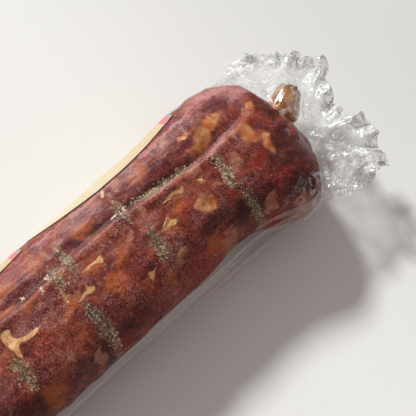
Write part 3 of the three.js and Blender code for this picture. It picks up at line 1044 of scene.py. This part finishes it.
def place_bag(turn, length):
    a = 2 * length - 1
    side = np.sign(a)
    body_rows = 1 - FLANGE_SHARE
    x = side * np.minimum(np.abs(a) / body_rows, 1) * HALF_LENGTH
    out = np.clip((np.abs(a) - body_rows) / FLANGE_SHARE, 0, 1)
    past = np.abs(x) - HALF_LENGTH + out * 20 * MM
    angle = bag_angle(turn)
    top = np.where(turn < 0.5, 1.0, -1.0)
    head = x > 0

    # Round the body.
    left, right, tall = body_sides(x)
    fin_tip = (30.4 + 4.4 * smooth(x, -10 * MM, 80 * MM)) * MM
    flattened = smooth(past, -13 * MM, 1 * MM)
    flat_right = np.where(head, HEAD_FLAT_RIGHT, FOOT_FLAT_RIGHT)
    bag_left = np.maximum(left, 0) + FILM_GAP * (1 - 0.7 * labelled(x))
    bag_left = bag_left + (FLAT_LEFT - bag_left) * flattened
    bag_right = np.minimum(right + FILM_GAP, fin_tip)
    bag_right = bag_right + (flat_right - bag_right) * flattened
    tip = fin_tip + (flat_right - fin_tip) * flattened
    tent = 15.5 * MM * np.clip(1 - (past + 8 * MM) / (21 * MM), 0, 1) ** 1.15
    height = np.maximum(np.where(past < 0, tall + FILM_GAP, 0), np.where(past > -8 * MM, tent, 0))
    y, z = section(angle, bag_left, bag_right, height, FLAT_DROP + 0.3 * MM)
    wrapped = np.stack([x, y + CENTRE_Y, z + AXIS_Z], axis=1)
    return wrapped, dict(
        x=x, y=y, z=z, past=past, out=out, top=top, head=head, tip=tip, height=height
    )


def place_bag_points(turn, length):
    wrapped, facts = place_bag(turn, length)
    x, y, z, past, out = (facts[key] for key in ("x", "y", "z", "past", "out"))
    top, tip, head = facts["top"], facts["tip"], facts["head"]
    side = np.sign(x)
    angle = bag_angle(turn)

    # The film follows the dents of the body where it lies on it, and bridges the fold a little.
    snug = 1 - smooth(past, -12 * MM, -5 * MM)
    normal, push = hugging(wrapped, y, z)
    follow = snug * smooth(np.abs(angle - math.pi), 0.25, 0.6)
    y = y + normal[:, 1] * push * follow
    z = z + normal[:, 2] * push * follow

    # The fin: past the right flank the two layers run together to a pleated tip.
    fin_share = np.clip(1 - np.abs(angle - math.pi) / FIN_WIDTH, 0, 1)
    edge_y = -np.abs(tip)
    fin_y = y + (edge_y - y) * fin_share**0.8
    fin_z = z * (1 - fin_share) ** 0.75
    pleat = np.zeros(len(x))
    for number, place in enumerate(FIN_PLEATS):
        wander = 0.05 * np.sin(x / (31 * MM) + 2 * number) + 0.02 * np.sin(x / (9 * MM) + 5 * number)
        height = 0.34 + 0.2 * np.sin(x / (23 * MM) + 3 * number + top)
        pleat += height * MM * hill(fin_share, place + wander + 0.03 * top, 0.026)
    rolled_edge = np.sqrt(np.clip(1 - ((1 - fin_share) / 0.035 - 1) ** 2, 0, 1))
    on_fin = (fin_share > 0) & (past < 0)
    y = np.where(on_fin, fin_y, y)
    fin_z = fin_z + top * snug * (pleat + 0.3 * MM * rolled_edge)
    z = np.where(on_fin, fin_z, z)

    # The flattened end, spread evenly across and out to its frilled edge.
    spread = np.where(turn < 0.5, 1 - 4 * turn, 4 * turn - 3)
    half = np.where(spread > 0, FLAT_LEFT, np.where(head, HEAD_FLAT_RIGHT, FOOT_FLAT_RIGHT))
    flat_y = spread * half
    beyond = smooth(past, -10 * MM, 3 * MM)
    y = y + (flat_y - y) * beyond
    reach = flange_reach(flat_y)
    x = x + side * out * reach
    lens = np.sqrt(np.clip(1 - spread**2, 0, 1))
    tent = facts["height"]
    z = np.where(past > -8 * MM, z * (1 - beyond) + top * tent * lens * beyond, z)

    # Room for the tail of casing.
    lean = np.where(head, HEAD_LEAN, FOOT_LEAN)
    tail_y = np.maximum(np.abs(x) - HALF_LENGTH, 0) * np.tan(lean)
    on_tail = hill(y, tail_y, 6.2 * MM) * smooth(np.abs(x) - HALF_LENGTH, -4 * MM, 2 * MM)
    on_tail = on_tail * (1 - smooth(np.abs(x) - HALF_LENGTH, 13.5 * MM, 17 * MM))
    z = z + (top * 6.0 * MM - TAIL_DROP) * on_tail * smooth(past, -4 * MM, 2 * MM)

    # The frill: the shrunk rim stands in close ruffles, with a finer ripple along its hem.
    to_edge = (1 - out) * reach
    in_flange = past > -1 * MM
    bearing = np.arctan2(y - FRILL_CENTRE[1], np.abs(x) - FRILL_CENTRE[0])
    t = FRILL_RADIUS * bearing
    rim = np.stack([t, to_edge, side * 40 * MM], axis=1)[in_flange]
    warp = np.zeros((2, len(x)))
    warp[0, in_flange] = lumps(rim * (1, 0.5, 1), 14 * MM, 2, 1.0)
    warp[1, in_flange] = lumps(rim * (1, 0.6, 1), 5.5 * MM, 1, 4.0)
    radial = np.zeros(len(x))
    radial[in_flange] = lumps(rim * (1, 0.1, 1), 4.6 * MM, 1, 7.0)
    broad_wave = smooth(-to_edge, -18 * MM, -6 * MM)
    ruffled = smooth(-to_edge, -10 * MM, -2.5 * MM)
    apart = np.where(top > 0, 0.0, 1.6) * smooth(to_edge, 1.5 * MM, 5 * MM)
    ruffle = 2 * math.pi * t / RUFFLE_LENGTH + 4.5 * warp[0] + apart
    size = 0.75 + 0.6 * warp[1]
    rise = WAVE_HEIGHT * broad_wave * np.sin(2 * math.pi * t / WAVE_LENGTH + 3 * warp[0])
    rise += 0.8 * MM * radial * (1 - 0.6 * ruffled) * smooth(past, 0, 3 * MM)
    rise += ruffled * size * RUFFLE_HEIGHT * np.sin(ruffle)
    slide = ruffled * size * RUFFLE_SLIDE * np.sin(2 * ruffle + 0.8)
    draw = ruffled * (1.3 * MM * np.cos(ruffle + 2 * warp[1]) * size + 1.0 * MM * warp[1])
    hem = smooth(-to_edge, -3.4 * MM, -0.4 * MM)
    rise += hem * 0.7 * MM * np.sin(HEM_RIPPLES * ruffle + 3 * warp[1])
    draw += hem * 0.5 * MM * np.cos(HEM_RIPPLES * ruffle)
    bead = BEAD_HEIGHT * np.sqrt(np.clip(1 - (to_edge / BEAD_REACH - 1) ** 2, 0, 1))
    rise += top * np.where(to_edge < 2 * BEAD_REACH, bead, 0.02 * MM)
    strength = in_flange * smooth(past, -1 * MM, 2 * MM)
    out_x, out_y = np.cos(bearing), np.sin(bearing)
    x = x + side * strength * (draw * out_x - slide * out_y)
    y = y + strength * (draw * out_y + slide * out_x)
    z = z + strength * rise
    return np.stack([x, y + CENTRE_Y, z + AXIS_Z], axis=1)


bag = rolled("shrink_bag_film", BAG_AROUND, BAG_ALONG, place_bag_points)
bag_points = points_of(bag)
bag_x = np.abs(bag_points[:, 0])
bag_y = bag_points[:, 1] - CENTRE_Y
lies_on_body = 1 - smooth(bag_x, 84 * MM, 93 * MM)
lies_on_body *= smooth(bag_y, -29 * MM, -25.5 * MM)
paint_attribute(bag, "snug", lies_on_body)
flat_right = np.where(bag_points[:, 0] > 0, HEAD_FLAT_RIGHT, FOOT_FLAT_RIGHT)
to_rim = HALF_LENGTH + flange_reach(bag_y) - bag_x
to_rim = np.minimum(to_rim, np.minimum(FLAT_LEFT - bag_y, flat_right + bag_y))
past_body = smooth(bag_x, 90 * MM, 98 * MM)
rim_band = 1 - smooth(to_rim, 3 * MM, 9.5 * MM)
right_edge = smooth(-bag_y, 24 * MM, 30 * MM) * smooth(bag_x, 62 * MM, 90 * MM)
shoulder = smooth(bag_y, 22 * MM, 25 * MM) * smooth(bag_x, 70 * MM, 82 * MM)
paint_attribute(bag, "frill", np.maximum(past_body * (0.1 + 0.9 * rim_band), 0.5 * right_edge))
paint_attribute(bag, "drawn", np.clip(past_body * (1 - rim_band) + right_edge + shoulder, 0, 1))


def curls(tree, coordinates, size, width):
    """Thin winding lines where film is folded over, size across: 1 on a line and 0 off it."""
    hills = speckle(tree, coordinates, size, detail=1, distortion=1.2)
    off = sum_up(tree, "ABSOLUTE", sum_up(tree, "SUBTRACT", hills, 0.5), 0)
    return between(tree, off, 0, width / size, 1, 0)


film, tree, output = new_material("clear_shrink_film")
film_at = object_coordinates(tree)
frill = painted(tree, "frill")
wide_curls = curls(tree, film_at, 4.6, 0.34)
close_curls = curls(tree, object_coordinates(tree, turn=(0.4, 0.2, 1)), 2.6, 0.24)
creases_and_glints = sum_up(tree, "MAXIMUM", wide_curls, close_curls)
broken = speckle(tree, object_coordinates(tree, turn=(1, 0, 0.4)), 3.2, detail=1)
creases_and_glints = product(tree, creases_and_glints, between(tree, broken, 0.34, 0.54))
creases_and_glints = product(tree, creases_and_glints, frill)
tensed = curls(tree, object_coordinates(tree, scale=(0.16, 1, 1)), 4.2, 0.24)
tensed = product(tree, tensed, between(tree, broken, 0.4, 0.6))
tensed = product(tree, tensed, painted(tree, "drawn"))
creases_and_glints = scaled(tree, tensed, 0.6, creases_and_glints)
drawn_out = object_coordinates(tree, scale=(0.25, 1, 1))
snug = painted(tree, "snug")
wrinkles = speckle(tree, drawn_out, 2.2, detail=3, roughness=0.6, distortion=0.6)
dimples = speckle(tree, film_at, 1.4, detail=2)
wrinkle_bump = bumped(tree, wrinkles, between(tree, snug, 0, 1, 0.3, 0.25), 0.6 * MM)
dimple_bump = bumped(tree, dimples, between(tree, snug, 0, 1, 0.1, 0.25), 0.3 * MM, wrinkle_bump)
film_bump = bumped(tree, creases_and_glints, 0.9, 0.4 * MM, dimple_bump)
facing = node(tree, "ShaderNodeLayerWeight", {"Blend": 0.5, "Normal": film_bump}).outputs["Facing"]
edge_on = sum_up(tree, "POWER", facing, 5.0)
mirror_share = scaled(tree, edge_on, 0.92, 0.06)
mirror_share = product(tree, mirror_share, between(tree, snug, 0, 1, 1.2, 0.12))
tint = blended(tree, product(tree, frill, 0.9), srgb(254, 254, 254), srgb(246, 245, 245))
tint = blended(tree, sum_up(tree, "POWER", facing, 4.0), tint, srgb(222, 221, 220))
clear = node(tree, "ShaderNodeBsdfTransparent", {"Color": tint})
gloss = node(
    tree,
    "ShaderNodeBsdfAnisotropic",
    {
        "Color": (1, 1, 1, 1),
        "Roughness": between(tree, snug, 0, 1, 0.1, 0.38),
        "Normal": film_bump,
    },
)
lit_through = node(tree, "ShaderNodeBsdfTranslucent", {"Color": srgb(252, 252, 252)})
white = node(tree, "ShaderNodeBsdfDiffuse", {"Color": srgb(252, 252, 252), "Normal": film_bump})
milk = node(tree, "ShaderNodeMixShader", {0: 0.18, 1: white.outputs[0], 2: lit_through.outputs[0]})
glazed = node(tree, "ShaderNodeMixShader", {0: mirror_share, 1: clear.outputs[0], 2: gloss.outputs[0]})
milky = between(tree, snug, 0, 1, 0.34, 0.07)
whitening_and_glint_share = scaled(tree, sum_up(tree, "POWER", facing, 3.0), milky, 0.005)
# White crease lines: partly film whitened where it is creased, partly painted highlights where the folds
# would glint.
whitening_and_glint_share = scaled(tree, creases_and_glints, 0.85, whitening_and_glint_share)
film_shader = node(
    tree, "ShaderNodeMixShader", {0: whitening_and_glint_share, 1: glazed.outputs[0], 2: milk.outputs[0]}
)
tree.links.new(film_shader.outputs[0], output.inputs["Surface"])
bag.data.materials.append(film)
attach(bag, "root")
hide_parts("shrink_bag")

# Two cream paper labels are stuck to the outside of the bag, from the left flank down round to
# the underside. Their print is plain bars and ticks that spell nothing.
LABEL_AROUND, LABEL_ALONG = 160, 150
LABEL_UNDER = math.radians(-120)
LABEL_LIFT, PAPER_HALF = 0.07 * MM, 0.04 * MM
LABEL_TOP = 47  # degrees above the widest line of the left flank, before it bows
BOW_HEAD, BOW_FOOT = (8, 32 * MM), (19, 35 * MM)  # degrees down, at this far from its middle


def label_top(x, low_x):
    """The angle of a label's upper edge, which bows down towards its ends."""
    off = x - low_x - 35 * MM
    bow_head = BOW_HEAD[0] * (off / BOW_HEAD[1]) ** 2
    bow_foot = BOW_FOOT[0] * (off / BOW_FOOT[1]) ** 2
    return np.radians(LABEL_TOP - np.where(off > 0, bow_head, bow_foot))


def place_label(low_x, high_x):
    def place(turn, length):
        down = 1 - np.abs(2 * turn - 1)  # 0 at the upper edge, 1 at the under edge
        outer = np.where(turn < 0.5, 1.0, -1.0)
        x = low_x + (high_x - low_x) * length
        angle = label_top(x, low_x) + (LABEL_UNDER - label_top(x, low_x)) * down
        left, right, tall = body_sides(x)
        drop = FLAT_DROP + 0.3 * MM
        gap = FILM_GAP * (1 - 0.7 * labelled(x))
        y, z = section(angle, left + gap, right + FILM_GAP, tall + FILM_GAP, drop)
        base = np.stack([x, y + CENTRE_Y, z + AXIS_Z], axis=1)
        normal, push = hugging(base, y, z)
        at_edge = (down <= 0) | (down >= 1) | (length <= 0) | (length >= 1)
        off = push + LABEL_LIFT + np.where(at_edge, 0, outer * PAPER_HALF)
        points = base + normal * off[:, None]
        points[:, 2] = np.maximum(points[:, 2], (1 + outer * (1 - at_edge)) * PAPER_HALF)
        return points

    return place


paper, tree, output = new_material("label_paper")
angle_down, from_head = painted(tree, "angle_down"), painted(tree, "from_head")
pulp = speckle(tree, object_coordinates(tree), 0.5, detail=4, roughness=0.7)
stain = speckle(tree, object_coordinates(tree), 9, detail=2)


def inside_band(value, low, high, soft):
    """1 where value lies between low and high, with soft edges."""
    risen = between(tree, value, low - soft, low + soft)
    return product(tree, risen, between(tree, value, high - soft, high + soft, 1, 0))


cream = blended(tree, between(tree, from_head, 0, 70), srgb(196, 170, 132), srgb(202, 190, 164))
cream = blended(tree, between(tree, stain, 0.4, 0.7, 0, 0.35), cream, srgb(190, 162, 118))
cream = blended(tree, between(tree, pulp, 0.4, 0.7, 0, 0.12), cream, srgb(160, 134, 96))
printed = blended(tree, inside_band(from_head, 1.4, 5.2, 0.2), cream, srgb(196, 112, 116))
printed = blended(tree, between(tree, from_head, 1.2, 1.5, 1, 0), printed, srgb(146, 140, 120))
ticks = speckle(tree, object_coordinates(tree, scale=(1, 0.02, 0.02)), 0.9, detail=2)
groups = speckle(tree, object_coordinates(tree, scale=(1, 0.02, 0.02), turn=(0, 0, 0.01)), 7, detail=1)
tick_share = product(tree, between(tree, ticks, 0.52, 0.56), between(tree, groups, 0.42, 0.5))
tick_row = product(tree, tick_share, inside_band(angle_down, 37, 41, 0.4))
past_end = between(tree, from_head, 7, 8)
printed = blended(tree, product(tree, tick_row, past_end), printed, srgb(66, 58, 46))
row = sum_up(tree, "FRACT", product(tree, angle_down, 0.15), 0)
bars = product(tree, between(tree, ticks, 0.44, 0.48), inside_band(row, 0.35, 0.65, 0.04))
bars = product(tree, bars, inside_band(angle_down, 62, 160, 1))
bars = product(tree, bars, inside_band(from_head, 10, 62, 0.5))
printed = blended(tree, product(tree, bars, 0.8), printed, srgb(92, 76, 60))
paper_bump = bumped(tree, pulp, 0.2, 0.1 * MM)
surfaced(tree, output, {"Base Color": printed, "Roughness": 0.6, "Normal": paper_bump})
for label_name in ("label_head", "label_foot"):
    low_label, high_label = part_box(label_name)
    place = place_label(low_label.x, high_label.x)
    label = rolled(label_name + "_paper", LABEL_AROUND, LABEL_ALONG, place)
    label_points = points_of(label)
    in_x = (high_label.x - label_points[:, 0]) / MM
    y, z = label_points[:, 1] - CENTRE_Y, label_points[:, 2] - AXIS_Z
    around = np.degrees(np.arctan2(z / HALF_HEIGHT, y / LEFT_HALF))
    paint_attribute(label, "angle_down", 60 - around)
    paint_attribute(label, "from_head", in_x)
    label.data.materials.append(paper)
    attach(label, "root")
    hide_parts(label_name)
